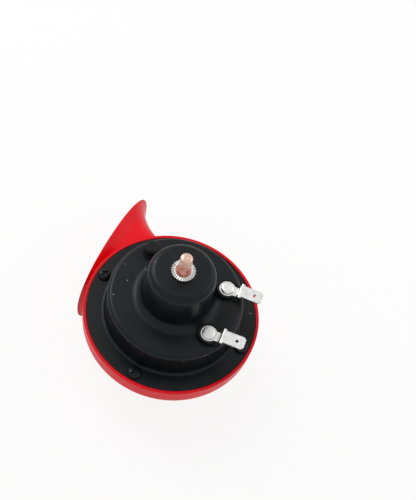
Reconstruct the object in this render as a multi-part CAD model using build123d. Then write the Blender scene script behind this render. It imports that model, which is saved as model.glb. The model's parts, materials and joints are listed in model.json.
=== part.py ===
from build123d import *
from math import cos, radians, sin
import os

# Electric car horn with a moulded snail trumpet, 12 V disc type.
# Frame: millimetres. The origin is on the mounting stud's axis, at the face that the
# bracket seats on (the top of the lock washer). +Z runs out along the stud, the
# trumpet lies at -Z and its mouth opens towards -Y.
# "Height" below means the distance from the back face of the housing's flange,
# positive towards the stud; at() turns it into a Z of the frame.

# ---------------------------------------------------------------- driving sizes
# rear housing: one deep-drawn steel shell
sheet = 1.2
flange_radius = 42.0
flange_width = 8.8
step_height = 16.2
step_taper = 0.4
boss_height = 39.4
boss_root_radius = 17.1
boss_top_radius = 15.8
flange_draw = 1.4
step_edge = 2.2
boss_draw = 4.5
boss_edge = 3.6

# mounting stud, core and lock washer
stud_radius = 3.0
stud_collar_radius = 3.5
stud_length = 11.0
stud_tip_round = 1.2
core_radius = 6.0
washer_thickness = 1.2
washer_radius = 5.8
washer_teeth = 26
washer_notch = 0.55

# clamped rim: gaskets, diaphragm and screws
gasket_thickness = 0.5
diaphragm_thickness = 0.25
corrugation_radius = 24.0
corrugation_width = 8.0
corrugation_crest = 4.0
corrugation_rise = 0.9
corrugation_bend = 1.0
clamp_width = 7.3
rim_clearance = 0.2
screw_edge = 3.7
screw_radius = 1.45
screw_length = 6.2
screw_point = 1.0
screw_point_radius = 0.95
screw_head_radius = 3.3
screw_head_height = 2.2
screw_angles = (0, 90, 180, 270)
hole_clearance = 0.15

# trumpet shell: one moulding
rim_wall = 1.4
rim_lip = 0.2
disc_depth = 12.5
disc_round = 6.1
disc_shoulder = 7.0
trumpet_wall = 2.0
trumpet_back_wall = 1.5
cover_thickness = 2.0
cover_depth = 7.0
cover_clearance = 0.2
throat_radius = 4.5
duct_width = 9.0
duct_depth = 2.0
duct_angle = 78.0
duct_margin = 4.3
mouth_margin = 1.4
mouth_lean = 8.0
panel_radius_x = 19.8
panel_radius_y = 25.6
panel_turn = -9.0
panel_x = 6.4
panel_y = -8.2
panel_line = 0.7
panel_line_depth = 0.3

# magnet
core_gap = 0.8
yoke_thickness = 1.6
yoke_radius = 19.5
yoke_bore_radius = 7.6
yoke_ear_reach = 29.0
yoke_ear_width = 11.0
bobbin_wall = 1.1
bobbin_flange_thickness = 1.2
bobbin_flange_radius = 13.2
winding_radius = 12.6
bore_clearance = 0.1
armature_head_radius = 10.0
armature_head_length = 5.1
collar_radius = 14.0
collar_thickness = 1.5
stem_radius = 5.0
rivet_tail_radius = 2.5
armature_washer_radius = 7.0
armature_washer_thickness = 1.0
peened_head_radius = 3.8
peened_head_height = 0.9

# contact breaker
breaker_angle = 205.0
breaker_radius = 24.5
contact_circle = 16.8
contact_radius = 1.5
contact_height = 0.5
arm_thickness = 0.4
arm_width = 5.0
arm_reach = 10.6
arm_lift = 0.2
arm_clearance = 0.25
post_radius = 4.2
bracket_thickness = 0.6
bracket_width = 5.0
bracket_margin = 0.4
breaker_washer_radius = 4.0
breaker_rivet_radius = 1.5
breaker_rivet_head = 2.8
breaker_rivet_head_height = 1.0

# tuning screw and its seal
tuning_angle = 235.0
tuning_edge = 6.3
tuning_radius = 1.5
tuning_stand = 1.6
tuning_slot_width = 0.6
tuning_slot_depth = 0.9
tuning_nut_flats = 5.5
tuning_nut_height = 3.0
plug_radius = 4.0
plug_height = 5.0
plug_round = 1.6
plug_wall = 1.2
plug_foot_radius = 4.5
plug_foot_height = 0.9

# terminals
terminal_shift = 0.05
terminal_upper_angle = 128.1
terminal_lower_angle = 64.8
blade_direction = 96.6
tab_thickness = 0.8
tab_ring_radius = 4.0
tab_neck_width = 5.0
tab_rise_at = 5.6
tab_rise = 3.0
tab_joggle = 0.5
tab_bend = 0.5
tab_lean_lower = 0.6
tab_length = 17.2
tab_shoulder_width = 7.8
tab_shoulder_length = 1.7
blade_width = 6.3
blade_corner = 1.1
blade_hole_radius = 0.8
blade_hole_from_tip = 3.9
terminal_rivet_radius = 1.6
terminal_rivet_head = 3.35
terminal_rivet_head_height = 1.2
terminal_tail_radius = 2.6
terminal_tail_height = 1.0
pad_thickness = 1.0
pad_radius = 5.3
pad_pocket_radius = 4.4
pad_collar_height = 1.2
pad_reach = 6.3
pad_slot_margin = 0.4
web_thickness = 0.5
web_width = 4.2
bush_radius = 2.5
inner_insulator_thickness = 1.0

# wires
wire_radius = 0.45
wire_circle = 11.6
wire_hole_radius = 0.8
wire_drop = 2.6
wire_clearance = 0.1
return_wire_gap = 2.0
return_wire_drop = 1.2
return_wire_step = 30.0

# The channel winds round the disc and leaves it as the flare. In the disc each
# station is a radial cut: angle, width inwards from the channel's outer edge, and the
# rise of its crest above the disc.
channel_edge = 5.2
solid_tail_stations = (
    (50, 4.4, -1.2),
    (62, 7.6, 0.9),
)
spiral_stations = (
    (76, 12.5, 3.4),
    (95, 14.7, 5.5),
    (116, 16.2, 7.7),
    (137, 18.4, 9.8),
    (159, 20.1, 12.0),
    (180, 20.4, 14.0),
)
# In the flare each station has an inner and an outer point in plan: how far it lies
# inside the channel's outer edge, and how far before the mouth. Then come the crest's
# rise and how far the back stands from the flange plane.
flare_stations = (
    ((20.0, 34.5), (-0.6, 35.5), 16.0, -1.5),
    ((20.5, 25.0), (-1.6, 25.5), 18.6, 6.0),
    ((23.4, 16.0), (-4.2, 16.2), 21.6, 6.5),
    ((28.9, 9.0), (-8.9, 8.8), 24.8, 5.5),
    ((37.6, 4.2), (-14.6, 3.4), 27.4, 4.0),
    ((52.8, 0.8), (-23.7, -1.0), 29.6, 2.0),
)
section_points = 20
spiral_boxiness = 2.7
mouth_boxiness = 2.2

# ------------------------------------------------------------- worked-out sizes
flange_z = -(boss_height + washer_thickness)
gasket_rear_face = -sheet
diaphragm_back = gasket_rear_face - gasket_thickness
diaphragm_front = diaphragm_back - diaphragm_thickness
ledge_height = diaphragm_front - gasket_thickness
rim_radius = flange_radius + rim_clearance + rim_wall
disc_edge_radius = rim_radius - disc_round
channel_outer_radius = rim_radius - channel_edge
mouth_depth = rim_radius + mouth_margin
screw_circle = flange_radius - screw_edge
step_root_radius = flange_radius - flange_width
step_top_radius = step_root_radius - step_taper
return_wire_circle = step_top_radius - sheet - return_wire_gap
terminal_circle = (boss_root_radius + step_top_radius) / 2 + terminal_shift
tuning_circle = step_top_radius - tuning_edge
clamp_outer_radius = flange_radius - rim_clearance
clamp_inner_radius = clamp_outer_radius - clamp_width
channel_back = -(cover_depth + cover_thickness)
cover_radius = clamp_inner_radius - cover_clearance
duct_reach = cover_radius - duct_margin
plateau_inner = step_height - sheet
yoke_front = plateau_inner - yoke_thickness
armature_top = yoke_front - core_gap
collar_top = armature_top - armature_head_length
collar_bottom = collar_top - collar_thickness
arm_bottom = collar_top + arm_lift
arm_top = arm_bottom + arm_thickness
contact_face = arm_bottom - contact_height
bracket_top = contact_face - contact_height
bracket_bottom = bracket_top - bracket_thickness
tab_bottom = step_height + pad_thickness
tab_top = tab_bottom + tab_thickness
breaker_lead_angle = breaker_angle - 25.0


def at(height):
    """Z of the frame for a height above the flange's back face."""
    return flange_z + height


def polar(radius, angle, height=0.0):
    """Point at a radius and an angle round the stud's axis."""
    return Vector(radius * cos(radians(angle)), radius * sin(radians(angle)), at(height))


def disc(radius, bottom, top, centre=(0, 0)):
    """Plain cylinder between two heights."""
    place = Pos(centre[0], centre[1], at(bottom))
    return place * extrude(Circle(radius), top - bottom)


def ring(inner, outer, bottom, top, centre=(0, 0)):
    """Washer between two heights."""
    place = Pos(centre[0], centre[1], at(bottom))
    return place * extrude(Circle(outer) - Circle(inner), top - bottom)


def turned(points):
    """Solid of revolution from a closed outline of (radius, height) points."""
    outline = [(radius, at(height)) for radius, height in points]
    return revolve(Plane.XZ * make_face(Polyline(*outline, close=True)), Axis.Z)


def plate(sketch, bottom, top):
    """Flat plate cut to a plan outline."""
    return Pos(0, 0, at(bottom)) * extrude(sketch, top - bottom)


def bar(start, end, width):
    """Plan outline of a strip with round ends between two points."""
    along = Vector(end[0] - start[0], end[1] - start[1])
    middle = ((start[0] + end[0]) / 2, (start[1] + end[1]) / 2)
    turn = along.get_signed_angle(Vector(1, 0, 0), Vector(0, 0, -1))
    return Pos(*middle) * Rot(0, 0, turn) * SlotCenterToCenter(along.length, width)


def wire(points, bend):
    """Round wire along straight runs joined by bends."""
    path = FilletPolyline(*points, radius=bend)
    section = Plane(path @ 0, z_dir=path % 0) * Circle(wire_radius)
    return sweep(section, path)


# --------------------------------------------------------------------- housing
def rear_housing():
    """Drawn shell: flange, step and coil boss from one sheet, with its holes."""
    outside = FilletPolyline(
        (0, at(boss_height)),
        (boss_top_radius, at(boss_height)),
        (boss_root_radius, at(step_height)),
        (step_top_radius, at(step_height)),
        (step_root_radius, at(0)),
        (flange_radius, at(0)),
        radius=[boss_edge, boss_draw, step_edge, flange_draw],
    )
    section = make_face(offset(outside, amount=sheet, side=Side.RIGHT, closed=True))
    shell = revolve(Plane.XZ * section, Axis.Z)
    shell -= disc(stud_collar_radius, boss_height - 2 * sheet, boss_height + sheet)
    for angle in screw_angles:
        place = polar(screw_circle, angle)
        shell -= disc(screw_radius + hole_clearance, -2 * sheet, sheet, (place.X, place.Y))
    for angle in (terminal_upper_angle, terminal_lower_angle):
        place = polar(terminal_circle, angle)
        shell -= disc(bush_radius, plateau_inner - sheet, step_height + sheet, (place.X, place.Y))
    place = polar(tuning_circle, tuning_angle)
    shell -= disc(tuning_radius, plateau_inner - sheet, step_height + sheet, (place.X, place.Y))
    return shell


def core_stud():
    """Pole core and mounting stud, turned as one piece."""
    shoulder = boss_height - sheet
    tip = boss_height + washer_thickness + stud_length
    stud = turned((
        (0, yoke_front),
        (core_radius, yoke_front),
        (core_radius, shoulder),
        (stud_collar_radius, shoulder),
        (stud_collar_radius, boss_height + washer_thickness),
        (stud_radius, boss_height + washer_thickness),
        (stud_radius, tip),
        (0, tip),
    ))
    end_edge = stud.edges().filter_by(GeomType.CIRCLE).sort_by(Axis.Z)[-1]
    return fillet(end_edge, stud_tip_round)


def lock_washer():
    """Spring washer with teeth cut round its edge."""
    bore = stud_collar_radius + bore_clearance
    washer = ring(bore, washer_radius, boss_height, boss_height + washer_thickness)
    notch = Pos(washer_radius, 0) * Rot(0, 0, 45) * Rectangle(washer_notch, washer_notch)
    notches = PolarLocations(0, washer_teeth) * notch
    return washer - plate(Sketch() + notches, boss_height, boss_height + washer_thickness)


# ---------------------------------------------------------------- clamped rim
def clamp_ring(bottom, top):
    """Gasket ring with the four screw holes."""
    band = Circle(clamp_outer_radius) - Circle(clamp_inner_radius)
    for angle in screw_angles:
        place = polar(screw_circle, angle)
        band -= Pos(place.X, place.Y) * Circle(screw_radius + hole_clearance)
    return plate(band, bottom, top)


def diaphragm():
    """Spring-steel disc with one pressed corrugation, clamped at its edge."""
    middle = FilletPolyline(
        (rivet_tail_radius, at(diaphragm_back)),
        (corrugation_radius - corrugation_width / 2, at(diaphragm_back)),
        (corrugation_radius - corrugation_crest / 2, at(diaphragm_back + corrugation_rise)),
        (corrugation_radius + corrugation_crest / 2, at(diaphragm_back + corrugation_rise)),
        (corrugation_radius + corrugation_width / 2, at(diaphragm_back)),
        (clamp_outer_radius, at(diaphragm_back)),
        radius=corrugation_bend,
    )
    section = offset(middle, amount=diaphragm_thickness, side=Side.RIGHT, closed=True)
    sheet_disc = revolve(Plane.XZ * make_face(section), Axis.Z)
    for angle in screw_angles:
        place = polar(screw_circle, angle)
        hole_bottom = diaphragm_front - diaphragm_thickness
        sheet_disc -= disc(
            screw_radius + hole_clearance, hole_bottom, gasket_rear_face, (place.X, place.Y)
        )
    return sheet_disc


def flange_screws():
    """Four pan-head screws through the flange into the trumpet's rim."""
    screw = turned((
        (0, -screw_length),
        (screw_point_radius, -screw_length),
        (screw_radius, -screw_length + screw_point),
        (screw_radius, 0),
        (screw_head_radius, 0),
        (screw_head_radius, screw_head_height * 0.35),
        (screw_head_radius * 0.8, screw_head_height * 0.85),
        (screw_head_radius * 0.4, screw_head_height),
        (0, screw_head_height),
    ))
    solids = []
    for angle in screw_angles:
        place = polar(screw_circle, angle)
        solids.append(Pos(place.X, place.Y, 0) * Rot(0, 0, angle) * screw)
    return Compound(children=solids)


# -------------------------------------------------------------------- trumpet
def station_list(outer_radius, cuts):
    """Radial cuts and flare: inner and outer point, back, front, boxiness and lean."""
    stations = []
    for angle, width, rise in cuts:
        inner = polar(channel_outer_radius - width, angle)
        outer = polar(outer_radius, angle)
        front = -(disc_depth + rise)
        back = -front + 2 * channel_back
        stations.append((inner, outer, back, front, spiral_boxiness, 0))
    last = len(flare_stations)
    for index, (inner, outer, rise, back_depth) in enumerate(flare_stations, start=1):
        share = index / last
        boxiness = spiral_boxiness + (mouth_boxiness - spiral_boxiness) * share
        front = -(disc_depth + rise)
        lean = mouth_lean * share
        ends = (flare_point(*inner), flare_point(*outer))
        stations.append((*ends, -back_depth, front, boxiness, lean))
    return stations


def flare_point(inside, before_mouth):
    """Point in plan: inside the channel's outer edge, and before the mouth."""
    return Vector(inside - channel_outer_radius, before_mouth - mouth_depth)


def channel_section(station, side_inset, face_inset, back_inset):
    """Closed superellipse round one station, pulled in by the wall."""
    inner, outer, back, front, boxiness, lean = station
    across = Vector(outer.X - inner.X, outer.Y - inner.Y)
    middle = (inner + outer) / 2
    half_width = across.length / 2 - side_inset
    half_height = (back - front - face_inset - back_inset) / 2
    shift = (face_inset - back_inset) / 2
    origin = (middle.X, middle.Y, at((front + back) / 2))
    inward = across.cross(Vector(0, 0, 1)).normalized()
    rise = Vector(0, 0, 1) * cos(radians(lean)) - inward * sin(radians(lean))
    plane = Plane(origin=origin, x_dir=across, z_dir=across.cross(rise))
    points = []
    for index in range(section_points):
        turn = radians(360 * (index + 0.5) / section_points)
        x = half_width * abs(cos(turn)) ** (2 / boxiness)
        y = half_height * abs(sin(turn)) ** (2 / boxiness)
        points.append((x if cos(turn) > 0 else -x, shift + (y if sin(turn) > 0 else -y)))
    return plane * make_face(Spline(*points, periodic=True))


def disc_side(radius, height):
    """Room of the housing and cover: everything behind a height within a radius."""
    return disc(radius, height, height + mouth_depth)


def channel_body():
    """Outside of the channel and flare."""
    sections = []
    for station in station_list(channel_outer_radius, solid_tail_stations + spiral_stations):
        sections.append(channel_section(station, 0, 0, 0))
    return loft(sections) - disc_side(rim_radius, -cover_depth)


def channel_void():
    """Air passage inside the channel, open at the cover and through the mouth."""
    sections = []
    for station in station_list(cover_radius + trumpet_wall, spiral_stations):
        sections.append(channel_section(station, trumpet_wall, trumpet_wall, trumpet_back_wall))
    return loft(sections) - disc_side(rim_radius + rim_clearance, channel_back)


def trumpet_shell():
    """Snail trumpet moulding: rim, disc, channel, flare and mouth."""
    inner_rim = flange_radius + rim_clearance
    section = Polyline(
        (0, at(channel_back)),
        (clamp_inner_radius, at(channel_back)),
        (clamp_inner_radius, at(ledge_height)),
        (inner_rim, at(ledge_height)),
        (inner_rim, at(rim_lip)),
        (rim_radius, at(rim_lip)),
        (rim_radius, at(-disc_shoulder)),
    )
    shoulder = TangentArc(
        (rim_radius, at(-disc_shoulder)), (disc_edge_radius, at(-disc_depth)), tangent=(0, -1)
    )
    front = Polyline(
        (disc_edge_radius, at(-disc_depth)), (0, at(-disc_depth)), (0, at(channel_back))
    )
    shell = revolve(Plane.XZ * make_face(section + shoulder + front), Axis.Z)
    shell += channel_body()
    shell -= disc(clamp_inner_radius, channel_back, ledge_height)
    shell -= channel_void()
    shell -= throat_duct()
    for angle in screw_angles:
        place = polar(screw_circle, angle)
        shell -= disc(screw_radius, -screw_length, ledge_height, (place.X, place.Y))
    return shell - panel_groove()


def throat_duct():
    """Duct under the cover from the throat to the small end of the channel."""
    end = polar(duct_reach, duct_angle)
    return plate(bar((0, 0), (end.X, end.Y), duct_width), channel_back - duct_depth, channel_back)


def panel_groove():
    """Oval line sunk in the front face."""
    oval = Ellipse(panel_radius_x, panel_radius_y)
    oval -= Ellipse(panel_radius_x - panel_line, panel_radius_y - panel_line)
    place = Pos(panel_x, panel_y) * Rot(0, 0, panel_turn)
    return plate(place * oval, -disc_depth, -disc_depth + panel_line_depth)


def channel_cover():
    """Plate that closes the back of the channel, with the throat in its middle."""
    return ring(throat_radius, cover_radius, channel_back, -cover_depth)


# --------------------------------------------------------------------- magnet
def coil_bobbin():
    """Moulded bobbin on the core."""
    bore = core_radius + bore_clearance
    top = boss_height - sheet - bore_clearance * 2
    barrel = bore + bobbin_wall
    bobbin = turned((
        (bore, plateau_inner),
        (bobbin_flange_radius, plateau_inner),
        (bobbin_flange_radius, plateau_inner + bobbin_flange_thickness),
        (barrel, plateau_inner + bobbin_flange_thickness),
        (barrel, top - bobbin_flange_thickness),
        (bobbin_flange_radius, top - bobbin_flange_thickness),
        (bobbin_flange_radius, top),
        (bore, top),
    ))
    for angle in (terminal_upper_angle, breaker_lead_angle):
        place = polar(wire_circle, angle)
        top_of_hole = plateau_inner + bobbin_flange_thickness
        bobbin -= disc(wire_hole_radius, plateau_inner, top_of_hole, (place.X, place.Y))
    return bobbin


def coil_winding():
    """Copper winding, as the one solid that its turns fill."""
    barrel = core_radius + bore_clearance + bobbin_wall
    top = boss_height - sheet - bore_clearance * 2 - bobbin_flange_thickness
    return ring(barrel, winding_radius, plateau_inner + bobbin_flange_thickness, top)


def yoke_plate():
    """Steel plate with two ears spot-welded under the step; it holds the coil in."""
    outline = Circle(yoke_radius)
    ears = Rectangle(2 * yoke_ear_reach, yoke_ear_width)
    outline += Rot(0, 0, breaker_angle) * (ears & Circle(yoke_ear_reach))
    outline -= Circle(yoke_bore_radius)
    stack = polar(breaker_radius, breaker_angle)
    outline -= Pos(stack.X, stack.Y) * Circle(breaker_rivet_radius)
    for angle in (terminal_upper_angle, breaker_lead_angle):
        place = polar(wire_circle, angle)
        outline -= Pos(place.X, place.Y) * Circle(wire_hole_radius)
    return plate(outline, yoke_front, plateau_inner)


def armature():
    """Turned pole piece: head, push collar, stem and the peened tail."""
    washer_front = diaphragm_front - armature_washer_thickness
    return turned((
        (0, washer_front - peened_head_height),
        (peened_head_radius, washer_front - peened_head_height),
        (peened_head_radius, washer_front),
        (rivet_tail_radius, washer_front),
        (rivet_tail_radius, diaphragm_back),
        (stem_radius, diaphragm_back),
        (stem_radius, collar_bottom),
        (collar_radius, collar_bottom),
        (collar_radius, collar_top),
        (armature_head_radius, collar_top),
        (armature_head_radius, armature_top),
        (0, armature_top),
    ))


def armature_washer():
    """Washer between the diaphragm and the peened tail."""
    front = diaphragm_front - armature_washer_thickness
    return ring(rivet_tail_radius, armature_washer_radius, front, diaphragm_front)


# -------------------------------------------------------------------- breaker
def stack_point():
    """Plan position of the breaker's rivet."""
    place = polar(breaker_radius, breaker_angle)
    return (place.X, place.Y)


def breaker_post():
    """Insulating pillar between the yoke plate and the breaker's arm."""
    return ring(breaker_rivet_radius, post_radius, arm_top + arm_clearance, yoke_front, stack_point())


def breaker_arm():
    """Spring leaf from the stack to the armature's collar."""
    tail = polar(arm_reach + arm_width / 2, breaker_angle)
    outline = bar((tail.X, tail.Y), stack_point(), arm_width)
    outline += Pos(*stack_point()) * Circle(post_radius - arm_clearance)
    outline -= Pos(*stack_point()) * Circle(breaker_rivet_radius + hole_clearance)
    return plate(outline, arm_bottom, arm_top)


def moving_contact():
    """Contact rivet under the arm."""
    place = polar(contact_circle, breaker_angle)
    return disc(contact_radius, contact_face, arm_bottom, (place.X, place.Y))


def fixed_contact():
    """Contact rivet on the bracket."""
    place = polar(contact_circle, breaker_angle)
    return disc(contact_radius, bracket_top, contact_face, (place.X, place.Y))


def breaker_insulator():
    """Insulating washer between the arm and the bracket."""
    return ring(
        breaker_rivet_radius, breaker_washer_radius, bracket_top, arm_bottom - arm_clearance, stack_point()
    )


def contact_bracket():
    """Springy strip with the fixed contact, and a tab under the tuning screw."""
    contact = polar(contact_circle, breaker_angle)
    screw = polar(tuning_circle, tuning_angle)
    outline = bar((contact.X, contact.Y), stack_point(), 2 * (contact_radius + bracket_margin))
    outline += Pos(*stack_point()) * Circle(breaker_washer_radius)
    outline += bar(stack_point(), (screw.X, screw.Y), bracket_width)
    outline -= Pos(*stack_point()) * Circle(breaker_rivet_radius)
    return plate(outline, bracket_bottom, bracket_top)


def breaker_rivet():
    """Rivet that clamps the stack to the yoke plate."""
    head_bottom = bracket_bottom - breaker_rivet_head_height
    shank = disc(breaker_rivet_radius, bracket_bottom, plateau_inner, stack_point())
    return shank + disc(breaker_rivet_head, head_bottom, bracket_bottom, stack_point())


# --------------------------------------------------------------- tuning screw
def tuning_point():
    """Plan position of the tuning screw."""
    place = polar(tuning_circle, tuning_angle)
    return (place.X, place.Y)


def tuning_screw():
    """Slotted screw whose tip presses on the bracket's tab."""
    top = step_height + tuning_stand
    screw = disc(tuning_radius, bracket_top, top, tuning_point())
    slot = Rectangle(2 * tuning_radius, tuning_slot_width)
    return screw - plate(Pos(*tuning_point()) * slot, top - tuning_slot_depth, top)


def tuning_nut():
    """Hexagon nut pressed into the step from inside."""
    across_corners = tuning_nut_flats / cos(radians(30))
    outline = RegularPolygon(across_corners / 2, 6) - Circle(tuning_radius)
    bottom = plateau_inner - tuning_nut_height
    turn = Rot(0, 0, tuning_angle + 30)
    return plate(Pos(*tuning_point()) * turn * outline, bottom, plateau_inner)


def tuning_plug():
    """Rubber cap that seals the tuning screw."""
    cap = disc(plug_radius, step_height, step_height + plug_height, tuning_point())
    cap = fillet(cap.edges().sort_by(Axis.Z)[-1], plug_round)
    cap += disc(plug_foot_radius, step_height, step_height + plug_foot_height, tuning_point())
    hollow = plug_height - plug_wall
    return cap - disc(plug_radius - plug_wall, step_height, step_height + hollow, tuning_point())


# ------------------------------------------------------------------ terminals
def along_blade(distance, angle):
    """Plan point along a terminal from its rivet."""
    place = polar(terminal_circle, angle) + polar(distance, blade_direction)
    return (place.X, place.Y)


def terminal(angle, lean):
    """Blade terminal: ring, neck, joggle and blade folded from one strip."""
    tip = tab_length
    side = FilletPolyline(
        (-2 * tab_ring_radius, at(tab_bottom)),
        (tab_rise_at, at(tab_bottom)),
        (tab_rise_at + tab_joggle, at(tab_bottom + tab_rise)),
        (tip + tab_joggle, at(tab_bottom + tab_rise + lean)),
        radius=tab_bend,
    )
    strip = make_face(offset(side, amount=tab_thickness, side=Side.LEFT, closed=True))
    folded = extrude(Plane.XZ * strip, tab_shoulder_width, both=True)
    blade_start = tab_rise_at + tab_shoulder_length
    blade = Pos((blade_start + tip) / 2, 0) * Rectangle(tip - blade_start, blade_width)
    blade = chamfer(blade.vertices().group_by(Axis.X)[-1], blade_corner)
    shoulder_start = tab_rise_at + tab_joggle / 2
    shoulder = Pos((shoulder_start + blade_start) / 2, 0) * Rectangle(
        blade_start - shoulder_start, tab_shoulder_width
    )
    neck_length = blade_start + tab_joggle
    neck = Pos(neck_length / 2, 0) * Rectangle(neck_length, tab_neck_width)
    outline = Circle(tab_ring_radius) + neck + shoulder + blade
    outline -= Circle(terminal_rivet_radius)
    outline -= Pos(tip - blade_hole_from_tip, 0) * Circle(blade_hole_radius)
    cutter = plate(outline, tab_bottom - tab_thickness, tab_top + 2 * tab_rise)
    place = polar(terminal_circle, angle)
    return Pos(place.X, place.Y, 0) * Rot(0, 0, blade_direction) * (folded & cutter)


def terminal_rivets():
    """Two rivets through terminal, insulators and step, peened over inside."""
    inside = plateau_inner - inner_insulator_thickness
    rivet = turned((
        (0, inside - terminal_tail_height),
        (terminal_tail_radius, inside - terminal_tail_height),
        (terminal_tail_radius, inside),
        (terminal_rivet_radius, inside),
        (terminal_rivet_radius, tab_top),
        (terminal_rivet_head, tab_top),
        (terminal_rivet_head, tab_top + terminal_rivet_head_height * 0.45),
        (terminal_rivet_head * 0.8, tab_top + terminal_rivet_head_height * 0.85),
        (terminal_rivet_head * 0.45, tab_top + terminal_rivet_head_height),
        (0, tab_top + terminal_rivet_head_height),
    ))
    solids = []
    for angle in (terminal_upper_angle, terminal_lower_angle):
        place = polar(terminal_circle, angle)
        solids.append(Pos(place.X, place.Y, 0) * rivet)
    return Compound(children=solids)


def web_outline():
    """Arc-shaped strip that joins the two terminal pads."""
    half = web_width / 2
    band = Circle(terminal_circle + half) - Circle(terminal_circle - half)
    low = polar(2 * terminal_circle, terminal_lower_angle)
    high = polar(2 * terminal_circle, terminal_upper_angle)
    wedge = make_face(Polyline((0, 0), (low.X, low.Y), (high.X, high.Y), close=True))
    return band & wedge


def terminal_insulator():
    """Outer insulator: a web and two pads, each with a collar round its terminal."""
    body = plate(web_outline(), step_height, step_height + web_thickness)
    for angle in (terminal_upper_angle, terminal_lower_angle):
        place = polar(terminal_circle, angle)
        foot = Pos(pad_reach / 2, 0) * Rectangle(pad_reach, 2 * pad_pocket_radius)
        pad = plate(Circle(pad_radius) + foot, step_height, tab_bottom)
        collar = Circle(pad_radius) - Circle(pad_pocket_radius)
        collar -= Pos(pad_radius, 0) * Rectangle(2 * pad_radius, tab_neck_width + 2 * pad_slot_margin)
        pad += plate(collar, tab_bottom, tab_bottom + pad_collar_height)
        body += Pos(place.X, place.Y, 0) * Rot(0, 0, blade_direction) * pad
    for angle in (terminal_upper_angle, terminal_lower_angle):
        place = polar(terminal_circle, angle)
        body -= disc(terminal_rivet_radius, step_height, tab_bottom, (place.X, place.Y))
    return body - rear_housing()


def inner_insulator():
    """Inner insulator: a web under the step with a bush round each rivet."""
    inside = plateau_inner - inner_insulator_thickness
    outline = web_outline()
    for angle in (terminal_upper_angle, terminal_lower_angle):
        place = polar(terminal_circle, angle)
        outline += Pos(place.X, place.Y) * Circle(pad_pocket_radius)
    body = plate(outline, inside, plateau_inner)
    for angle in (terminal_upper_angle, terminal_lower_angle):
        place = polar(terminal_circle, angle)
        body += disc(bush_radius, inside, step_height, (place.X, place.Y))
        body -= disc(terminal_rivet_radius, inside, step_height, (place.X, place.Y))
    return body


# ---------------------------------------------------------------------- wires
def wire_start(angle):
    """Point under the winding where a lead leaves it."""
    return polar(wire_circle, angle, plateau_inner + bobbin_flange_thickness)


def coil_lead_terminal():
    """Lead from the coil to the upper terminal's rivet."""
    tail = plateau_inner - inner_insulator_thickness - terminal_tail_height
    run = yoke_front - wire_drop
    return wire((
        wire_start(terminal_upper_angle),
        polar(wire_circle, terminal_upper_angle, run),
        polar(terminal_circle, terminal_upper_angle, run),
        polar(terminal_circle, terminal_upper_angle, tail),
    ), wire_radius * 2)


def coil_lead_breaker():
    """Lead from the coil to the breaker's rivet."""
    run = yoke_front - wire_drop
    level = bracket_bottom - wire_radius - wire_clearance
    head = polar(breaker_radius, breaker_angle)
    corner = polar(breaker_radius, breaker_lead_angle)
    toward = (corner - head).normalized() * breaker_rivet_head
    return wire((
        wire_start(breaker_lead_angle),
        polar(wire_circle, breaker_lead_angle, run),
        polar(breaker_radius, breaker_lead_angle, run),
        polar(breaker_radius, breaker_lead_angle, level),
        (head.X + toward.X, head.Y + toward.Y, at(level)),
    ), wire_radius * 2)


def bracket_lead():
    """Lead from the contact bracket round the wall to the lower terminal's rivet."""
    tail = plateau_inner - inner_insulator_thickness - terminal_tail_height
    level = bracket_bottom - return_wire_drop
    first = tuning_angle + return_wire_step
    last = terminal_lower_angle + 360
    steps = round((last - first) / return_wire_step)
    points = [
        polar(tuning_circle, tuning_angle, bracket_bottom),
        polar(tuning_circle, tuning_angle, level),
    ]
    for index in range(steps + 1):
        points.append(polar(return_wire_circle, first + (last - first) * index / steps, level))
    points.append(polar(terminal_circle, last, level))
    points.append(polar(terminal_circle, last, tail))
    bend = wire_radius * 2
    return wire(points, [bend, bend] + [return_wire_circle / 2] * (steps - 1) + [bend, bend])


PIECES = {
    "rear_housing": rear_housing(),
    "core_stud": core_stud(),
    "lock_washer": lock_washer(),
    "rear_gasket": clamp_ring(diaphragm_back, gasket_rear_face),
    "diaphragm": diaphragm(),
    "front_gasket": clamp_ring(ledge_height, diaphragm_front),
    "flange_screws": flange_screws(),
    "trumpet_shell": trumpet_shell(),
    "channel_cover": channel_cover(),
    "coil_bobbin": coil_bobbin(),
    "coil_winding": coil_winding(),
    "yoke_plate": yoke_plate(),
    "armature": armature(),
    "armature_washer": armature_washer(),
    "breaker_post": breaker_post(),
    "breaker_arm": breaker_arm(),
    "moving_contact": moving_contact(),
    "fixed_contact": fixed_contact(),
    "breaker_insulator": breaker_insulator(),
    "contact_bracket": contact_bracket(),
    "breaker_rivet": breaker_rivet(),
    "tuning_screw": tuning_screw(),
    "tuning_nut": tuning_nut(),
    "tuning_plug": tuning_plug(),
    "terminal_upper": terminal(terminal_upper_angle, 0),
    "terminal_lower": terminal(terminal_lower_angle, tab_lean_lower),
    "terminal_rivets": terminal_rivets(),
    "terminal_insulator": terminal_insulator(),
    "inner_insulator": inner_insulator(),
    "coil_lead_terminal": coil_lead_terminal(),
    "coil_lead_breaker": coil_lead_breaker(),
    "bracket_lead": bracket_lead(),
}

os.makedirs("parts", exist_ok=True)
for name, piece in PIECES.items():
    export_step(piece, f"parts/{name}.step")
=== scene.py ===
"""Car horn with a moulded snail trumpet: finishes, thread, serrations, screw recesses and stage."""
import json
from math import cos, pi, radians, sin

import bmesh
import bpy
from mathutils import Matrix, Vector


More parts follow.
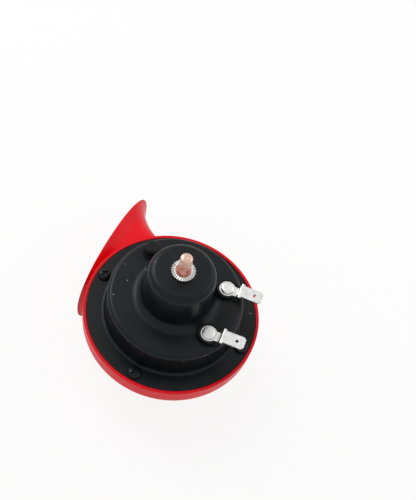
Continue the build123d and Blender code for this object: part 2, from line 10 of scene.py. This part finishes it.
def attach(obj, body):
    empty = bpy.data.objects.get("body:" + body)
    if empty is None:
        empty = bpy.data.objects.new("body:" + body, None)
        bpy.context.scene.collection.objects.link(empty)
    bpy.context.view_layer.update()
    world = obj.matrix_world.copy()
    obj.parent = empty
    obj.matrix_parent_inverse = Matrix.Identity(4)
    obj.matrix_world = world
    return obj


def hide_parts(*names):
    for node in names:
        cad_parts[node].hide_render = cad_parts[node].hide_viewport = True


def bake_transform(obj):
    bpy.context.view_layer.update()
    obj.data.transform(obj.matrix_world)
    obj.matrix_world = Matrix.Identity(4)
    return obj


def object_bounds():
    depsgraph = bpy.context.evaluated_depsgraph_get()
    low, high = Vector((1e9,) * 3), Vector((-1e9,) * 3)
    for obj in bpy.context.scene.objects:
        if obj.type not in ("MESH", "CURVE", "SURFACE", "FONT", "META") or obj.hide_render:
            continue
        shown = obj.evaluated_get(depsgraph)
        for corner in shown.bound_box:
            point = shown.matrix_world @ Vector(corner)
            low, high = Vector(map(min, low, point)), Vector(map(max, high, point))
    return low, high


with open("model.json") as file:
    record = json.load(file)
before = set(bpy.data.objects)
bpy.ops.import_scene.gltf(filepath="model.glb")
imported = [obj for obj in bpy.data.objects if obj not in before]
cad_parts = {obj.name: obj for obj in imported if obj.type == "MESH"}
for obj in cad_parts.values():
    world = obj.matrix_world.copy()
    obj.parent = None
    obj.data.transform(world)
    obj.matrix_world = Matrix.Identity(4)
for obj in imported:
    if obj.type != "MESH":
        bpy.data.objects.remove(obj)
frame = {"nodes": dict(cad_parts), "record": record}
cad_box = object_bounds()
nodes = frame["nodes"]
MM = 0.001

# ---------------------------------------------------------------- measured sizes
FLANGE_Z = -40.6 * MM          # back face of the flange; the origin is the bracket's seat
SHOULDER_Z = -2.4 * MM         # top of the core, under the boss
CORE_BOTTOM = -27.2 * MM
CORE_R = 6.0 * MM
COLLAR_R = 3.5 * MM
STUD_R = 3.0 * MM
STUD_TOP = 11.0 * MM
STUD_TIP_ROUND = 1.2 * MM
STUD_SIDES = 72
COLLAR_BREAK = 0.15 * MM       # height of the collar's broken edge
CREST_INSET = 0.12 * MM        # thread crests and the collar's edge, inside the plain radius
ROOT_INSET = 0.25 * MM         # start of the thread, inside the plain radius
THREAD_PITCH = 1.0 * MM
THREAD_DEPTH = 0.50 * MM
THREAD_STEPS = 10              # rings in one turn of the thread
THREAD_START = 0.08 * MM
THREAD_RUN_IN = 0.8 * MM
THREAD_RUN_OUT = 0.7 * MM
THREAD_OVERLAP = 0.2 * MM      # how far the thread runs into the tip's rounding
THREAD_CREST = 0.08            # share of the pitch that the crest is flat on each side
TIP_STEPS = 8
TIP_SPREAD = 1.25              # width of the domed tip over its height
TIP_FULLNESS = 0.96
CENTRE_MARK = ((0.9, 0.02), (0.62, 0.03), (0.42, 0.22), (0.1, 0.30))   # radius and drop, mm
WASHER_R = 5.8 * MM
WASHER_BORE_R = 3.6 * MM
WASHER_T = 1.2 * MM
WASHER_TEETH = 26
WASHER_CUT = 0.50 * MM
WASHER_CUT_INNER = 0.7         # share of the cut where a tooth begins
WASHER_LAND = 0.55 * MM        # plain ring round the bore
WASHER_RAMP = 0.75 * MM        # where the teeth begin, from the bore
WASHER_SLOPE = 0.45 * MM       # where the teeth have their full depth, from the edge
WASHER_BREAK = 0.12 * MM
WASHER_BREAK_DROP = 0.04 * MM
WASHER_SIDE = 0.18 * MM        # where the straight side begins, from each face
WASHER_BORE_BREAK = 0.10 * MM
WASHER_SCALLOPS = (0.10 * MM, 0.30 * MM)
TOOTH_STEPS = 12
TOOTH_RAKE = 0.72              # share of a tooth that rises
RIVET_CIRCLE = 25.0 * MM
RIVET_ANGLES = (128.1, 64.8)
RIVET_R = 1.6 * MM
RIVET_HEAD_R = 3.35 * MM
RIVET_HEAD_H = 1.2 * MM
RIVET_TAIL_R = 2.6 * MM
RIVET_BOTTOM = 13.0 * MM       # heights above the flange's back face
RIVET_TAIL_TOP = 14.0 * MM
RIVET_SEAT = 18.0 * MM
RIVET_SIDES = 64
RIVET_BREAK = 0.2 * MM
RIVET_UNDERCUT = 0.1 * MM
RIVET_ROLL_STEPS = 8
RIVET_ROLL = 0.75 * MM         # how far in the head's rolled edge reaches
RIVET_ROLL_START = 0.25 * MM
RIVET_ROLL_LOSS = 0.40 * MM
RIVET_FACE = ((0.70, 0.10), (0.55, 0.06), (0.35, 0.02), (0.10, 0.0))   # share of radius; drop, mm
SCREW_CIRCLE = 38.3 * MM
SCREW_R = 1.45 * MM
SCREW_LENGTH = 6.2 * MM
SCREW_HEAD_R = 3.3 * MM
SCREW_HEAD_H = 2.2 * MM
SCREW_POINT = 1.0 * MM
SCREW_POINT_INSET = 0.5 * MM
SCREW_BREAK = 0.15 * MM
SCREW_SIDES = 96
SCREW_ROWS = 26
SCREW_ANGLES = (0, pi / 2, pi, 3 * pi / 2)
CROWN_SIDE = 0.35              # share of the head's height that is its straight side
CROWN_SHAPE = (2.6, 0.55)      # powers of the crown's curve
RECESS_WIDTH = 0.95 * MM
RECESS_REACH = 1.75 * MM
RECESS_DEPTH = 1.1 * MM
RECESS_TURN = 24               # degrees
RECESS_EDGES = (0.10 * MM, 0.12 * MM)    # softness of its sides and of its ends
RECESS_FLARE = (1.15, 0.45)    # width at the middle, and how much of it the ends lose
RECESS_RISE = 0.35             # how much shallower its ends are

# Camera: the rear face seen from above one side, as a pinhole that fits its ellipses.
CAMERA_AZIMUTH = 14.0          # plan angle of the camera round the stud, from +X
CAMERA_ELEVATION = 61.85
CAMERA_ROLL = 15.63            # how far the stud leans clockwise in the picture
CAMERA_DISTANCE = 427.0 * MM   # from the flange's centre
PICTURE_W = 416
PICTURE_H = 500
FLANGE_PIXEL = (172.15, 310.9)   # where the flange's centre falls
PIXELS_PER_M = 2022.9          # at the flange's centre
SENSOR = 36.0
CLIP_START = 0.01

WORLD_LEVEL = 0.60
GLOSSY_LEVEL = 0.80
FLOOR_GAP = 0.5 * MM           # below the lowest point
FLOOR_HALF = 3.0
FLOOR_GREY = 0.95
FLOOR_ROUGHNESS = 0.9
FLOOR_GLOW = 0.86              # share of plain white that the camera and reflections see
LAMPS = (                      # name, place, size in metres, watts
    ("key_lamp", (-0.25, -0.60, 0.65), 0.5, 3.4),
    ("fill_lamp", (-0.6, 0.5, 0.6), 0.8, 1.4),
)
SHARP_ANGLE = 38               # degrees from which an edge of a lathed piece is drawn sharp

# The diaphragm springs between its clamped rim and the armature's foot.
SPRING_INNER = 9.0 * MM
SPRING_OUTER = 24.0 * MM
SPRING_ROWS = 12
QUARTERS = 4
WELD = 0.001 * MM
SLICE_SLACK = 1e-7


# ---------------------------------------------------------------------- camera
def make_camera():
    """Pinhole at the fitted place, turned so that the flange's centre falls on its pixel."""
    azimuth = radians(CAMERA_AZIMUTH)
    elevation = radians(CAMERA_ELEVATION)
    plan = Vector((cos(azimuth), sin(azimuth), 0))
    back = plan * cos(elevation) + Vector((0, 0, sin(elevation)))
    level = Vector((-plan.y, plan.x, 0))
    rise = back.cross(level)
    roll = radians(CAMERA_ROLL)
    right = level * cos(roll) + rise * sin(roll)
    up = rise * cos(roll) - level * sin(roll)
    focal = PIXELS_PER_M * CAMERA_DISTANCE
    offset_x = (FLANGE_PIXEL[0] - PICTURE_W / 2) / focal
    offset_y = (PICTURE_H / 2 - FLANGE_PIXEL[1]) / focal
    aim = Vector((offset_x, offset_y, -1))
    turn = aim.rotation_difference(Vector((0, 0, -1))).to_matrix()
    pose = Matrix((right, up, back)).transposed() @ turn
    camera_data = bpy.data.cameras.new("camera")
    camera = bpy.data.objects.new("camera", camera_data)
    bpy.context.scene.collection.objects.link(camera)
    centre = Vector((0, 0, FLANGE_Z))
    camera.matrix_world = Matrix.Translation(centre + back * CAMERA_DISTANCE) @ pose.to_4x4()
    camera_data.sensor_width = SENSOR
    camera_data.sensor_height = SENSOR
    camera_data.lens = focal / PICTURE_H * SENSOR
    camera_data.clip_start = CLIP_START
    bpy.context.scene.camera = camera


make_camera()


# ------------------------------------------------------------------- materials
# Noise scales, in features to the metre.
RED_FLOW = 45.0
RED_SCUFF = 900.0
RED_WAVE = 70.0
PAINT_MOTTLE = 60.0
PAINT_DUST = 650.0
PAINT_GRAIN = 2600.0
METAL_STAIN = 260.0
METAL_SCRATCH = 1500.0
PLASTIC_TONE = 400.0
PLASTIC_GRAIN = 3000.0
INNER_TONE = 300.0
# Specks: cell, share of the cells that hold one, and radius.
PAINT_SPECKS = ((5.0 * MM, 0.14, 0.40 * MM), (2.1 * MM, 0.04, 0.24 * MM))
PLASTIC_SPECKS = (1.6 * MM, 0.16, 0.18 * MM)
DRAWN_ALONG_Y = (1.0, 0.25, 1.0)
DRAWN_FINE = (1.0, 0.12, 1.0)
PAINTED_SHADE_WANDER = 1.2 * MM         # how far the edge of the painted shade strays
BEVEL_SAMPLES = 6


class Shader:
    """Principled material with short helpers for its node tree."""

    def __init__(self, name, **constants):
        self.material = bpy.data.materials.new(name)
        self.material.use_nodes = True
        self.tree = self.material.node_tree
        self.bsdf = self.tree.nodes["Principled BSDF"]
        for socket, value in constants.items():
            self.bsdf.inputs[socket.replace("_", " ")].default_value = value
        self.place = self.tree.nodes.new("ShaderNodeTexCoord").outputs["Object"]

    def node(self, kind, inputs=None, **settings):
        """New node; an input is a value or another node's output."""
        made = self.tree.nodes.new(kind)
        for key, value in settings.items():
            setattr(made, key, value)
        for key, value in (inputs or {}).items():
            if isinstance(value, bpy.types.NodeSocket):
                self.tree.links.new(value, made.inputs[key])
            else:
                made.inputs[key].default_value = value
        return made

    def noise(self, scale, detail, roughness=0.5, stretch=None):
        """Noise from 0 to 1 that stays with the object; stretch draws it out along an axis."""
        vector = self.place
        if stretch:
            vector = self.node("ShaderNodeMapping", {"Vector": vector, "Scale": stretch}).outputs[0]
        texture = self.node("ShaderNodeTexNoise", {
            "Vector": vector, "Scale": scale, "Detail": detail, "Roughness": roughness})
        return texture.outputs["Fac"]

    def ramp(self, value, low, high, low_out=0.0, high_out=1.0):
        """Value mapped from low..high to low_out..high_out, and held at the ends."""
        mapped = self.node("ShaderNodeMapRange", {
            "Value": value, "From Min": low, "From Max": high,
            "To Min": low_out, "To Max": high_out})
        return mapped.outputs[0]

    def mix(self, factor, first, second):
        """Colour between first and second."""
        made = self.node("ShaderNodeMix", data_type="RGBA")
        for index, value in ((0, factor), (6, first), (7, second)):
            if isinstance(value, bpy.types.NodeSocket):
                self.tree.links.new(value, made.inputs[index])
            else:
                made.inputs[index].default_value = value
        return made.outputs[2]

    def math(self, operation, first, second):
        return self.node("ShaderNodeMath", {0: first, 1: second}, operation=operation).outputs[0]

    def link(self, socket, value):
        self.tree.links.new(value, self.bsdf.inputs[socket])

    def bump(self, height, distance, strength, edge):
        """Bump from a height; edge rounds the corners' shading by that radius."""
        rounded = self.node("ShaderNodeBevel", {"Radius": edge}, samples=BEVEL_SAMPLES)
        bumped = self.node("ShaderNodeBump", {
            "Height": height, "Distance": distance, "Strength": strength,
            "Normal": rounded.outputs[0]})
        self.link("Normal", bumped.outputs[0])

    def specks(self, cell, share, size):
        """Sparse round specks: one at most in each cell, in a share of the cells."""
        texture = self.node("ShaderNodeTexVoronoi", {"Vector": self.place, "Scale": 1 / cell})
        chosen = self.node("ShaderNodeSeparateColor", {0: texture.outputs["Color"]}).outputs[0]
        chosen = self.math("LESS_THAN", chosen, share)
        near = self.ramp(texture.outputs["Distance"], size / cell, size / cell * 0.5)
        return self.math("MULTIPLY", near, chosen)

    def height(self):
        """Z of the object's frame."""
        return self.node("ShaderNodeSeparateXYZ", {0: self.place}).outputs[2]


def rgba(red, green, blue):
    return (red, green, blue, 1.0)


def red_plastic():
    """Glossy moulded ABS: faint flow in its colour, slight waviness, fine scuffs."""
    shader = Shader("red_plastic_gloss", Specular_IOR_Level=0.22, IOR=1.45)
    flow = shader.ramp(shader.noise(RED_FLOW, 4.0, 0.6), 0.35, 0.7)
    shader.link("Base Color", shader.mix(flow, rgba(0.76, 0.0015, 0.008), rgba(0.86, 0.003, 0.012)))
    scuff = shader.noise(RED_SCUFF, 6.0, 0.7, DRAWN_ALONG_Y)
    shader.link("Roughness", shader.ramp(scuff, 0.3, 0.75, 0.24, 0.40))
    shader.bump(shader.noise(RED_WAVE, 2.0), 0.08 * MM, 0.5, edge=0.4 * MM)
    return shader.material


def black_paint():
    """Satin black paint on drawn steel, with fine grain, soft mottling and dust."""
    shader = Shader("black_satin_paint", Specular_IOR_Level=0.22)
    mottle = shader.noise(PAINT_MOTTLE, 5.0, 0.65)
    colour = shader.mix(shader.ramp(mottle, 0.3, 0.75),
                        rgba(0.0022, 0.0042, 0.0052), rgba(0.0050, 0.0086, 0.0105))
    dust = shader.ramp(shader.noise(PAINT_DUST, 8.0, 0.75), 0.66, 0.80, 0.0, 0.2)
    colour = shader.mix(dust, colour, rgba(0.06, 0.06, 0.06))
    coarse, fine = (shader.specks(*speck) for speck in PAINT_SPECKS)
    speck = shader.math("MULTIPLY", shader.math("MAXIMUM", coarse, fine), 0.7)
    shader.link("Base Color", shader.mix(speck, colour, rgba(0.55, 0.54, 0.50)))
    shader.link("Roughness", shader.ramp(mottle, 0.3, 0.75, 0.30, 0.42))
    shader.bump(shader.noise(PAINT_GRAIN, 3.0, 0.6), 0.03 * MM, 0.5, edge=0.3 * MM)
    return shader.material


def bright_metal(name, light, dark, roughness, painted_shade=None):
    """Plated metal with scratches and stains; painted_shade is low, high and two tones for below
    them, painted shade that darkens the metal under that height.
    """
    shader = Shader(name, Metallic=1.0)
    stain = shader.noise(METAL_STAIN, 5.0, 0.65)
    colour = shader.mix(shader.ramp(stain, 0.35, 0.75), light, dark)
    # Painted shade: under a height the colour blends to the darker tones below.
    if painted_shade:
        low, high, light_below, dark_below = painted_shade
        below = shader.mix(shader.ramp(stain, 0.40, 0.62), light_below, dark_below)
        wander = shader.math("MULTIPLY", stain, PAINTED_SHADE_WANDER)
        level = shader.math("ADD", shader.height(), wander)
        colour = shader.mix(shader.ramp(level, low, high), below, colour)
    shader.link("Base Color", colour)
    scratch = shader.noise(METAL_SCRATCH, 5.0, 0.7, DRAWN_FINE)
    shader.link("Roughness", shader.ramp(scratch, 0.3, 0.7, roughness * 0.75, roughness * 1.3))
    shader.bump(scratch, 0.02 * MM, 0.4, edge=0.15 * MM)
    return shader.material


def black_plastic(name, roughness, light):
    """Matt black plastic or rubber with fine grain and pale specks."""
    shader = Shader(name, Specular_IOR_Level=0.2)
    tone = shader.noise(PLASTIC_TONE, 5.0, 0.6)
    colour = shader.mix(shader.ramp(tone, 0.3, 0.8),
                        rgba(0.002, 0.0024, 0.0028), rgba(light, light, light * 1.1))
    speck = shader.math("MULTIPLY", shader.specks(*PLASTIC_SPECKS), 0.5)
    shader.link("Base Color", shader.mix(speck, colour, rgba(0.30, 0.29, 0.27)))
    shader.link("Roughness", shader.ramp(tone, 0.3, 0.8, roughness * 0.85, roughness * 1.15))
    shader.bump(shader.noise(PLASTIC_GRAIN, 3.0), 0.03 * MM, 0.5, edge=0.2 * MM)
    return shader.material


def inner_material(name, light, dark, roughness, metallic):
    """Plain finish with slight variation for what is sealed inside."""
    shader = Shader(name, Metallic=metallic)
    tone = shader.noise(INNER_TONE, 4.0)
    shader.link("Base Color", shader.mix(tone, light, dark))
    shader.link("Roughness", shader.ramp(tone, 0.3, 0.7, roughness * 0.8, roughness * 1.2))
    return shader.material


TIN = rgba(0.84, 0.84, 0.83), rgba(0.62, 0.62, 0.61)
ZINC = rgba(0.82, 0.82, 0.80), rgba(0.58, 0.58, 0.56)
# Painted shade in the washer's grooves: the zinc turns to these darker tones below its top face.
ZINC_PAINTED_SHADE_IN_GROOVES = rgba(0.20, 0.195, 0.19), rgba(0.11, 0.105, 0.10)
COPPER_TIP = rgba(0.80, 0.58, 0.48), rgba(0.58, 0.33, 0.26)
# Darker tones for the stud's lower part: its own darker copper, with painted shade over the lower
# part.
COPPER_PAINTED_SHADE_BELOW = rgba(0.76, 0.40, 0.31), rgba(0.40, 0.13, 0.11)
MATERIALS = {
    "red_plastic": red_plastic(),
    "black_painted_steel": black_paint(),
    "tin_plate": bright_metal("tin_plate_bright", *TIN, 0.34),
    # The washer's zinc, with painted shade darkening its grooves below the top face.
    "zinc_plate": bright_metal("zinc_plate_bright", *ZINC, 0.28,
                               (-0.10 * MM, 0.55 * MM, *ZINC_PAINTED_SHADE_IN_GROOVES)),
    # The stud's copper, painted darker below 6.5 to 8.5 mm: partly its own tone, partly painted
    # shade.
    "copper_plate": bright_metal("copper_plate_shaded_below", *COPPER_TIP, 0.34,
                                 (6.5 * MM, 8.5 * MM, *COPPER_PAINTED_SHADE_BELOW)),
    "black_plastic": black_plastic("black_plastic_moulded", 0.50, 0.006),
    "black_rubber": black_plastic("black_rubber_dusty", 0.60, 0.010),
    "gasket_rubber": black_plastic("gasket_sheet", 0.80, 0.08),
}
for slot, name, light, dark, roughness, metallic in (
        ("spring_steel", "spring_steel_blue", (0.5, 0.51, 0.54), (0.38, 0.39, 0.43), 0.3, 1.0),
        ("soft_steel", "soft_steel_turned", (0.46, 0.46, 0.47), (0.33, 0.33, 0.34), 0.35, 1.0),
        ("nylon", "nylon_natural", (0.82, 0.78, 0.66), (0.74, 0.70, 0.58), 0.45, 0.0),
        ("copper_wire", "copper_enamelled", (0.70, 0.30, 0.14), (0.52, 0.20, 0.08), 0.3, 1.0),
        ("brass", "brass_plain", (0.78, 0.62, 0.32), (0.62, 0.46, 0.20), 0.3, 1.0),
        ("phenolic", "phenolic_brown", (0.26, 0.14, 0.07), (0.18, 0.09, 0.04), 0.5, 0.0),
        ("contact_silver", "contact_silver", (0.8, 0.8, 0.78), (0.65, 0.65, 0.63), 0.25, 1.0)):
    MATERIALS[slot] = inner_material(name, rgba(*light), rgba(*dark), roughness, metallic)
SLOT_OF = {row["node"]: row["material_slot"] for row in frame["record"]["subparts"]}


def dress(piece, slot):
    """One material on every face."""
    piece.data.materials.clear()
    piece.data.materials.append(MATERIALS[slot])


for name, piece in nodes.items():
    dress(piece, SLOT_OF[name])


# ------------------------------------------------------------------- diaphragm
def cut(mesh, normal, place, clear):
    """Slices the mesh by a plane; clear drops what lies beyond it and closes the slice."""
    everything = mesh.verts[:] + mesh.edges[:] + mesh.faces[:]
    found = bmesh.ops.bisect_plane(mesh, geom=everything, dist=SLICE_SLACK,
                                   plane_co=place, plane_no=normal, clear_outer=clear)
    if clear:
        edges = [item for item in found["geom_cut"] if isinstance(item, bmesh.types.BMEdge)]
        bmesh.ops.triangle_fill(mesh, edges=edges, use_beauty=True)


def make_diaphragm():
    """Diaphragm in quarters, with rows of edges across the ring between its middle, which springs
    with the armature, and its rim, which stays.
    """
    source = nodes["diaphragm"]
    for quarter in range(QUARTERS):
        turn = quarter * pi / 2
        along = Vector((cos(turn), sin(turn), 0))
        mesh = bmesh.new()
        mesh.from_mesh(source.data)
        bmesh.ops.remove_doubles(mesh, verts=mesh.verts, dist=WELD)
        for side in (1, -1):
            edge = turn + side * 3 * pi / 4
            cut(mesh, Vector((cos(edge), sin(edge), 0)), Vector((0, 0, 0)), True)
        for row in range(SPRING_ROWS + 1):
            reach = SPRING_INNER + (SPRING_OUTER - SPRING_INNER) * row / SPRING_ROWS
            cut(mesh, along, along * reach, False)
        bmesh.ops.recalc_face_normals(mesh, faces=mesh.faces)
        data = bpy.data.meshes.new("diaphragm_quarter_%d" % (quarter + 1))
        mesh.to_mesh(data)
        mesh.free()
        data.materials.append(MATERIALS["spring_steel"])
        piece = bpy.data.objects.new(data.name, data)
        bpy.context.scene.collection.objects.link(piece)
        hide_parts("diaphragm")
        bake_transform(piece)


make_diaphragm()


# --------------------------------------------------------------------- lathed pieces
def lathe_piece(name, rings, slot, node, loop=False, copies=(Vector((0, 0, 0)),)):
    """Smooth piece from rings of points, stood in for one CAD node; loop joins last to first."""
    mesh = bmesh.new()
    for offset in copies:
        rows = [[mesh.verts.new(point + offset) for point in ring] for ring in rings]
        pairs = list(zip(rows, rows[1:])) + ([(rows[-1], rows[0])] if loop else [])
        for lower, upper in pairs:
            count = len(lower)
            for index in range(count):
                after = (index + 1) % count
                mesh.faces.new((lower[index], lower[after], upper[after], upper[index]))
        if not loop:
            mesh.faces.new(list(reversed(rows[0])))
            mesh.faces.new(rows[-1])
    bmesh.ops.recalc_face_normals(mesh, faces=mesh.faces)
    data = bpy.data.meshes.new(name)
    mesh.to_mesh(data)
    mesh.free()
    data.materials.append(MATERIALS[slot])
    data.shade_smooth()
    piece = bpy.data.objects.new(name, data)
    bpy.context.scene.collection.objects.link(piece)
    data.set_sharp_from_angle(angle=radians(SHARP_ANGLE))
    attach(piece, "horn")
    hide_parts(node)
    return piece


def ring_points(radius_at, height_at, count):
    """One ring; radius and height may depend on the share of the turn."""
    points = []
    for index in range(count):
        share = index / count
        radius = radius_at(share) if callable(radius_at) else radius_at
        height = height_at(share) if callable(height_at) else height_at
        turn = 2 * pi * share
        points.append(Vector((radius * cos(turn), radius * sin(turn), height)))
    return points


def on_circle(radius, turn):
    """Point of a circle round the stud's axis."""
    return Vector((radius * cos(turn), radius * sin(turn), 0))


def smoothstep(low, high, value):
    """Smooth 0 to 1 between low and high, which may run either way."""
    share = min(max((value - low) / (high - low), 0.0), 1.0)
    return share * share * (3 - 2 * share)


def make_stud():
    """Core and stud with its rolled thread, collar, domed tip and centre mark."""
    plain = ((CORE_R, CORE_BOTTOM), (CORE_R, SHOULDER_Z), (COLLAR_R, SHOULDER_Z),
             (COLLAR_R, -COLLAR_BREAK), (COLLAR_R - CREST_INSET, 0.0), (STUD_R - ROOT_INSET, 0.0))
    rings = [ring_points(radius, height, STUD_SIDES) for radius, height in plain]
    thread_top = STUD_TOP - STUD_TIP_ROUND + THREAD_OVERLAP
    level = THREAD_START
    while level < thread_top:
        run_in = smoothstep(0.0, THREAD_RUN_IN, level)
        runout = run_in * smoothstep(thread_top, thread_top - THREAD_RUN_OUT, level)

        def radius_at(share, level=level, runout=runout):
            phase = (level / THREAD_PITCH - share) % 1.0
            edge = THREAD_CREST if phase < 0.5 else 1 - THREAD_CREST
            groove = smoothstep(edge, 0.5, phase)
            return STUD_R - CREST_INSET - THREAD_DEPTH * groove * runout
        rings.append(ring_points(radius_at, level, STUD_SIDES))
        level += THREAD_PITCH / THREAD_STEPS
    for index in range(1, TIP_STEPS + 1):
        turn = radians(90 * index / TIP_STEPS)
        radius = STUD_R - STUD_TIP_ROUND * TIP_SPREAD * (1 - cos(turn)) - CREST_INSET
        height = thread_top + (STUD_TOP - thread_top) * sin(turn) * TIP_FULLNESS
        rings.append(ring_points(radius, height, STUD_SIDES))
    for radius, drop in CENTRE_MARK:
        rings.append(ring_points(radius * MM, STUD_TOP - drop * MM, STUD_SIDES))
    return lathe_piece("threaded_stud", rings, "copper_plate", "core_stud")


def make_washer():
    """Serrated lock washer: a plain inner land and raked radial teeth."""
    count = WASHER_TEETH * TOOTH_STEPS

    def tooth(share):
        phase = (share * WASHER_TEETH) % 1.0
        return smoothstep(0.0 if phase < TOOTH_RAKE else 1.0, TOOTH_RAKE, phase)

    def row(radius, top, depth, scallop=0.0):
        return ring_points(
            lambda share: radius - scallop * (1 - tooth(share)),
            lambda share: top + (depth * (1 - tooth(share))), count)
    slight, full = WASHER_SCALLOPS
    inner_cut = WASHER_CUT * WASHER_CUT_INNER
    rings = [
        row(WASHER_BORE_R, -WASHER_BORE_BREAK, 0.0),
        row(WASHER_BORE_R + WASHER_BREAK, 0.0, 0.0),
        row(WASHER_BORE_R + WASHER_LAND, 0.0, 0.0),
        row(WASHER_BORE_R + WASHER_RAMP, 0.0, -inner_cut),
        row(WASHER_R - WASHER_SLOPE, 0.0, -WASHER_CUT),
        row(WASHER_R - WASHER_BREAK, -WASHER_BREAK_DROP, -WASHER_CUT, slight),
        row(WASHER_R, -WASHER_SIDE, -WASHER_CUT, full),
        row(WASHER_R, -WASHER_T + WASHER_SIDE, WASHER_CUT, full),
        row(WASHER_R - WASHER_BREAK, -WASHER_T, WASHER_CUT, slight),
        row(WASHER_BORE_R + WASHER_RAMP, -WASHER_T, inner_cut),
        row(WASHER_BORE_R + WASHER_BREAK, -WASHER_T, 0.0),
        row(WASHER_BORE_R, -WASHER_T + WASHER_BORE_BREAK, 0.0),
    ]
    return lathe_piece("serrated_lock_washer", rings, "zinc_plate", "lock_washer", loop=True)


def make_screws():
    """Four pan-head screws, each with a tapered cross recess."""
    plain = ((SCREW_R - SCREW_POINT_INSET, -SCREW_LENGTH), (SCREW_R, SCREW_POINT - SCREW_LENGTH),
             (SCREW_R, 0.0), (SCREW_HEAD_R - SCREW_BREAK, 0.0), (SCREW_HEAD_R, SCREW_BREAK),
             (SCREW_HEAD_R, SCREW_HEAD_H * CROWN_SIDE))
    rings = [ring_points(radius, FLANGE_Z + height, SCREW_SIDES) for radius, height in plain]
    outer_power, inner_power = CROWN_SHAPE
    side_edge, end_edge = RECESS_EDGES
    middle, loss = RECESS_FLARE
    for index in range(1, SCREW_ROWS):
        share = 1 - index / SCREW_ROWS
        radius = SCREW_HEAD_R * share
        swell = (1 - share ** outer_power) ** inner_power
        crown = SCREW_HEAD_H * (CROWN_SIDE + (1 - CROWN_SIDE) * swell)

        def height_at(turn_share, radius=radius, crown=crown):
            turn = 2 * pi * turn_share + radians(RECESS_TURN)
            x = abs(radius * cos(turn))
            y = abs(radius * sin(turn))
            along, across = max(x, y), min(x, y)
            half = RECESS_WIDTH * (middle - loss * along / RECESS_REACH) / 2
            inside = smoothstep(half + side_edge, half - side_edge, across)
            inside *= smoothstep(RECESS_REACH + end_edge, RECESS_REACH - end_edge, along)
            depth = RECESS_DEPTH * (1 - RECESS_RISE * along / RECESS_REACH)
            return FLANGE_Z + crown - depth * inside
        rings.append(ring_points(radius, height_at, SCREW_SIDES))
    places = [on_circle(SCREW_CIRCLE, turn) for turn in SCREW_ANGLES]
    return lathe_piece("cross_recess_screws", rings, "black_painted_steel", "flange_screws",
                       copies=places)


def make_rivets():
    """Two terminal rivets with flat round heads and rolled edges."""
    head = RIVET_SEAT + RIVET_HEAD_H
    profile = [(RIVET_BREAK, RIVET_BOTTOM), (RIVET_TAIL_R - RIVET_BREAK, RIVET_BOTTOM),
               (RIVET_TAIL_R, RIVET_BOTTOM + RIVET_BREAK), (RIVET_TAIL_R, RIVET_TAIL_TOP),
               (RIVET_R, RIVET_TAIL_TOP), (RIVET_R, RIVET_SEAT),
               (RIVET_HEAD_R - RIVET_UNDERCUT, RIVET_SEAT)]
    for index in range(RIVET_ROLL_STEPS + 1):
        turn = radians(90 * index / RIVET_ROLL_STEPS)
        rise = (RIVET_HEAD_H - RIVET_ROLL_LOSS) * sin(turn)
        profile.append((RIVET_HEAD_R - RIVET_ROLL * (1 - cos(turn)),
                        RIVET_SEAT + RIVET_ROLL_START + rise))
    for share, drop in RIVET_FACE:
        profile.append((RIVET_HEAD_R * share, head - drop * MM))
    rings = [ring_points(radius, FLANGE_Z + height, RIVET_SIDES) for radius, height in profile]
    places = [on_circle(RIVET_CIRCLE, radians(angle)) for angle in RIVET_ANGLES]
    return lathe_piece("flat_terminal_rivets", rings, "tin_plate", "terminal_rivets", copies=places)


make_stud()
make_washer()
make_screws()
make_rivets()


# ----------------------------------------------------------------------- stage
def make_stage():
    """Pale floor just under the lowest point, and a white world seen by the camera."""
    floor_z = cad_box[0][2] - FLOOR_GAP
    mesh = bpy.data.meshes.new("floor")
    corners = [(x * FLOOR_HALF, y * FLOOR_HALF, floor_z)
               for x, y in ((-1, -1), (1, -1), (1, 1), (-1, 1))]
    mesh.from_pydata(corners, [], [(0, 1, 2, 3)])
    floor = bpy.data.objects.new("floor", mesh)
    bpy.context.scene.collection.objects.link(floor)
    shader = Shader("floor_white", Roughness=FLOOR_ROUGHNESS)
    shader.bsdf.inputs["Base Color"].default_value = rgba(FLOOR_GREY, FLOOR_GREY, FLOOR_GREY)
    path = shader.node("ShaderNodeLightPath")
    seen = shader.math("MAXIMUM", path.outputs["Is Camera Ray"], path.outputs["Is Glossy Ray"])
    level = shader.ramp(path.outputs["Is Glossy Ray"], 0.0, 1.0, 1.0, GLOSSY_LEVEL)
    white = shader.node("ShaderNodeEmission", {"Color": rgba(1, 1, 1), "Strength": level})
    blend = shader.node("ShaderNodeMixShader", {0: shader.math("MULTIPLY", seen, FLOOR_GLOW)})
    output = shader.tree.nodes["Material Output"]
    shader.tree.links.new(shader.bsdf.outputs[0], blend.inputs[1])
    shader.tree.links.new(white.outputs[0], blend.inputs[2])
    shader.tree.links.new(blend.outputs[0], output.inputs["Surface"])
    mesh.materials.append(shader.material)

    world = bpy.data.worlds.new("studio")
    bpy.context.scene.world = world
    world.use_nodes = True
    tree = world.node_tree
    background = tree.nodes["Background"]
    background.inputs["Color"].default_value = rgba(1, 1, 1)
    path = tree.nodes.new("ShaderNodeLightPath")
    level = WORLD_LEVEL
    for ray, seen in (("Is Camera Ray", 1.0), ("Is Transmission Ray", 1.0),
                      ("Is Glossy Ray", GLOSSY_LEVEL)):
        step = tree.nodes.new("ShaderNodeMix")
        tree.links.new(path.outputs[ray], step.inputs["Factor"])
        if isinstance(level, float):
            step.inputs["A"].default_value = level
        else:
            tree.links.new(level, step.inputs["A"])
        step.inputs["B"].default_value = seen
        level = step.outputs[0]
    tree.links.new(level, background.inputs["Strength"])


def lamp(name, place, size, watts):
    """Square soft lamp that faces the flange's centre."""
    data = bpy.data.lights.new(name, "AREA")
    data.size = size
    data.energy = watts
    made = bpy.data.objects.new(name, data)
    bpy.context.scene.collection.objects.link(made)
    place = Vector(place)
    made.location = place
    made.rotation_euler = (Vector((0, 0, FLANGE_Z)) - place).to_track_quat("-Z", "Y").to_euler()


make_stage()
for settings in LAMPS:
    lamp(*settings)

view_settings = bpy.context.scene.view_settings
view_settings.view_transform = "Standard"
